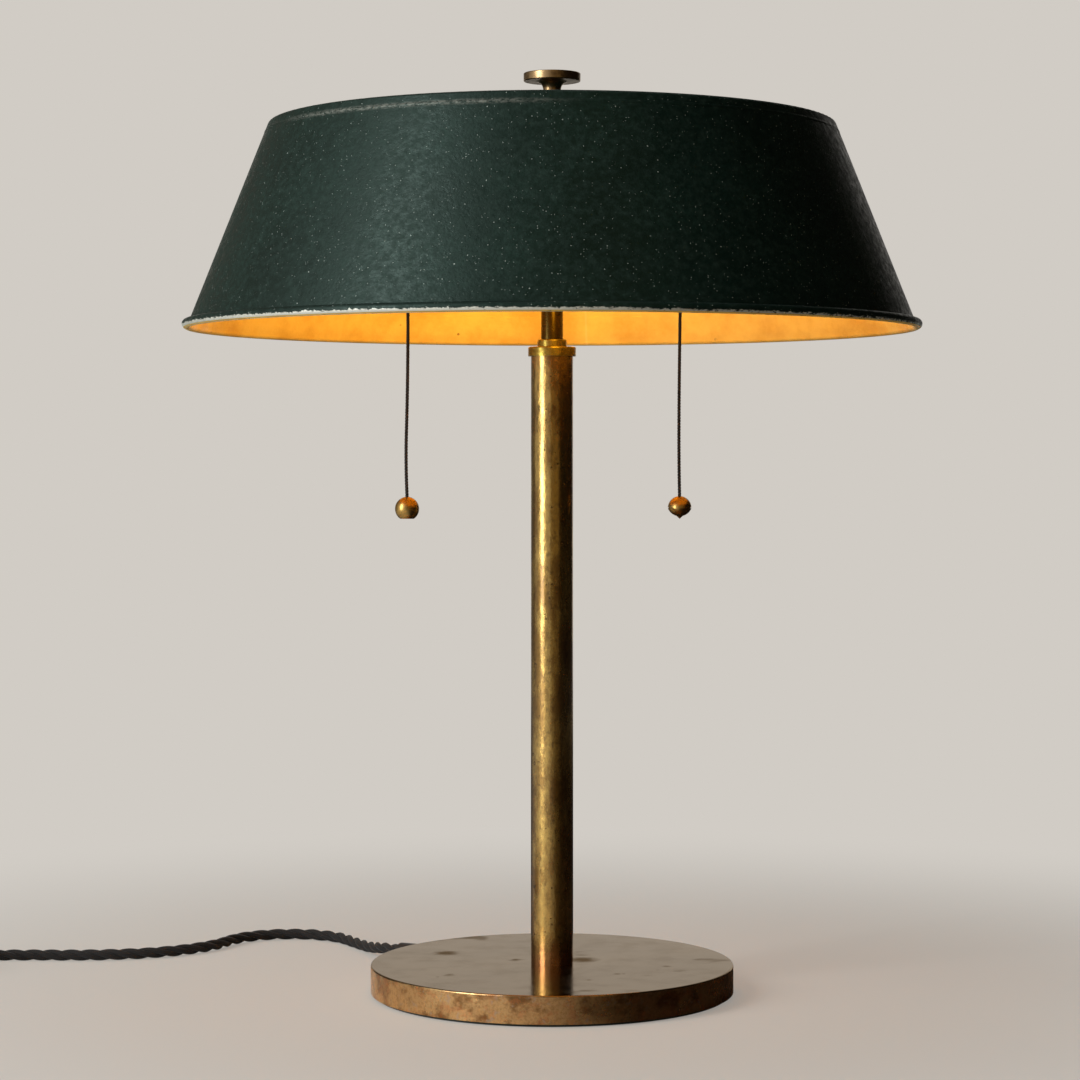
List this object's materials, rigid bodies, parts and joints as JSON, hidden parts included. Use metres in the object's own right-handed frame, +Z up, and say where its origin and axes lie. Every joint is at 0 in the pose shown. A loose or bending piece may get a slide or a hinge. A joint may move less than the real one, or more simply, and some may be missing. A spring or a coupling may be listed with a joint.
{
  "type": "bouillotte table lamp",
  "caption": "Table lamp with a round weighted base, a plain stem, pull-switch lampholders and a wide metal shade held by a disc-shaped finial.",
  "frame": {"origin": "on the table, under the middle of the stem, at the underside of the felt", "axes": "+Z up along the stem; -Y is the front; the line of the two lampholders is turned 13 degrees from X"},
  "size_m": [0.6245, 0.3998, 0.5003],
  "materials": {
    "aged_brass": "aged, satin with dark spots",
    "knob_brass": "aged, satin",
    "ball_brass": "polished",
    "contact_brass": "plain",
    "cast_iron": "rough casting",
    "steel": "zinc plated",
    "base_felt": "felt",
    "shade_paint": "worn satin, cream inside",
    "phenolic": "moulded",
    "fibre": "vulcanised fibre",
    "bulb_glass": "opal",
    "lead_rubber": "matt",
    "flex_textile": "braided textile",
    "pull_braid": "braided",
    "plug_plastic": "moulded",
    "plug_blades": "bright"
  },
  "bodies": {
    "lamp": {"arm_leads": "lead_rubber", "arm_nipples": "steel", "arm_sleeve_left": "aged_brass", "arm_sleeve_right": "aged_brass", "base_felt": "base_felt", "base_shell": "aged_brass", "base_weight": "cast_iron", "bulb_caps": "contact_brass", "bulb_glass_left": "bulb_glass", "bulb_glass_right": "bulb_glass", "centre_contacts": "contact_brass", "clamp_screws": "steel", "cluster_body": "aged_brass", "cluster_lid": "aged_brass", "cord_clamp": "contact_brass", "cord_coil": "flex_textile", "cord_gland": "phenolic", "foot_washer": "steel", "holder_cap_left": "aged_brass", "holder_cap_right": "aged_brass", "holder_insulator_left": "phenolic", "holder_insulator_right": "phenolic", "holder_liners": "fibre", "holder_shell_left": "aged_brass", "holder_shell_right": "aged_brass", "lever_pins": "steel", "lever_springs": "steel", "lid_nut": "steel", "mains_cord": "flex_textile", "mains_cord_tail": "flex_textile", "neck_ring": "aged_brass", "neck_tube": "aged_brass", "plug_blades": "plug_blades", "plug_body": "plug_plastic", "pull_spout_left": "aged_brass", "pull_spout_right": "aged_brass", "rod_nuts": "steel", "screw_shells": "contact_brass", "shade_rod": "steel", "shade_seat": "aged_brass", "stem_bushes": "aged_brass", "stem_collar": "aged_brass", "stem_leads": "lead_rubber", "stem_tube": "aged_brass", "terminal_block": "phenolic", "tie_rod": "steel"},
    "shade": {"shade_cone": "shade_paint", "shade_cap": "shade_paint", "rim_wire": "shade_paint"},
    "finial_washer": {"finial_washer": "knob_brass"},
    "finial": {"finial_knob": "knob_brass"},
    "lever_left": {"switch_lever_left": "steel"},
    "lever_right": {"switch_lever_right": "steel"},
    "pull_left": {"pull_cord_left": "pull_braid", "pull_knot_left": "contact_brass", "pull_ball_left": "ball_brass"},
    "pull_right": {"pull_cord_right": "pull_braid", "pull_knot_right": "contact_brass", "pull_ball_right": "ball_brass", "pull_ball_right_tip": "ball_brass"}
  },
  "joints": [
    {"name": "shade_swivel", "type": "hinge", "parent": "lamp", "child": "shade", "pos_m": [0, 0, 0.4707], "axis": [0, 0, 1], "continuous": true},
    {"name": "finial_rise", "type": "slide", "parent": "lamp", "child": "finial_washer", "axis": [0, 0, 1], "range_m": [0, 0.006]},
    {"name": "finial_turn", "type": "hinge", "parent": "finial_washer", "child": "finial", "pos_m": [0, 0, 0.473], "axis": [0, 0, 1], "range_deg": [0, 2160]},
    {"name": "pull_left", "type": "slide", "parent": "lamp", "child": "pull_left", "axis": [0, 0, -1], "range_m": [0, 0.009], "stiffness_N_per_m": 400, "springref_m": -0.01},
    {"name": "lever_left", "type": "hinge", "parent": "lamp", "child": "lever_left", "pos_m": [-0.06489, -0.01498, 0.412], "axis": [0.225, -0.9744, 0], "range_deg": [0, 40.52]},
    {"name": "pull_right", "type": "slide", "parent": "lamp", "child": "pull_right", "axis": [0, 0, -1], "range_m": [0, 0.009], "stiffness_N_per_m": 400, "springref_m": -0.01},
    {"name": "lever_right", "type": "hinge", "parent": "lamp", "child": "lever_right", "pos_m": [0.05807, 0.01341, 0.412], "axis": [-0.225, 0.9744, 0], "range_deg": [0, 40.52]}
  ],
  "couplings": [
    {"joint": "finial_turn", "follows": "finial_rise", "rad_per_m": 6283.2},
    {"joint": "lever_left", "follows": "pull_left", "rad_per_m": 78.549},
    {"joint": "lever_right", "follows": "pull_right", "rad_per_m": 78.549}
  ]
}
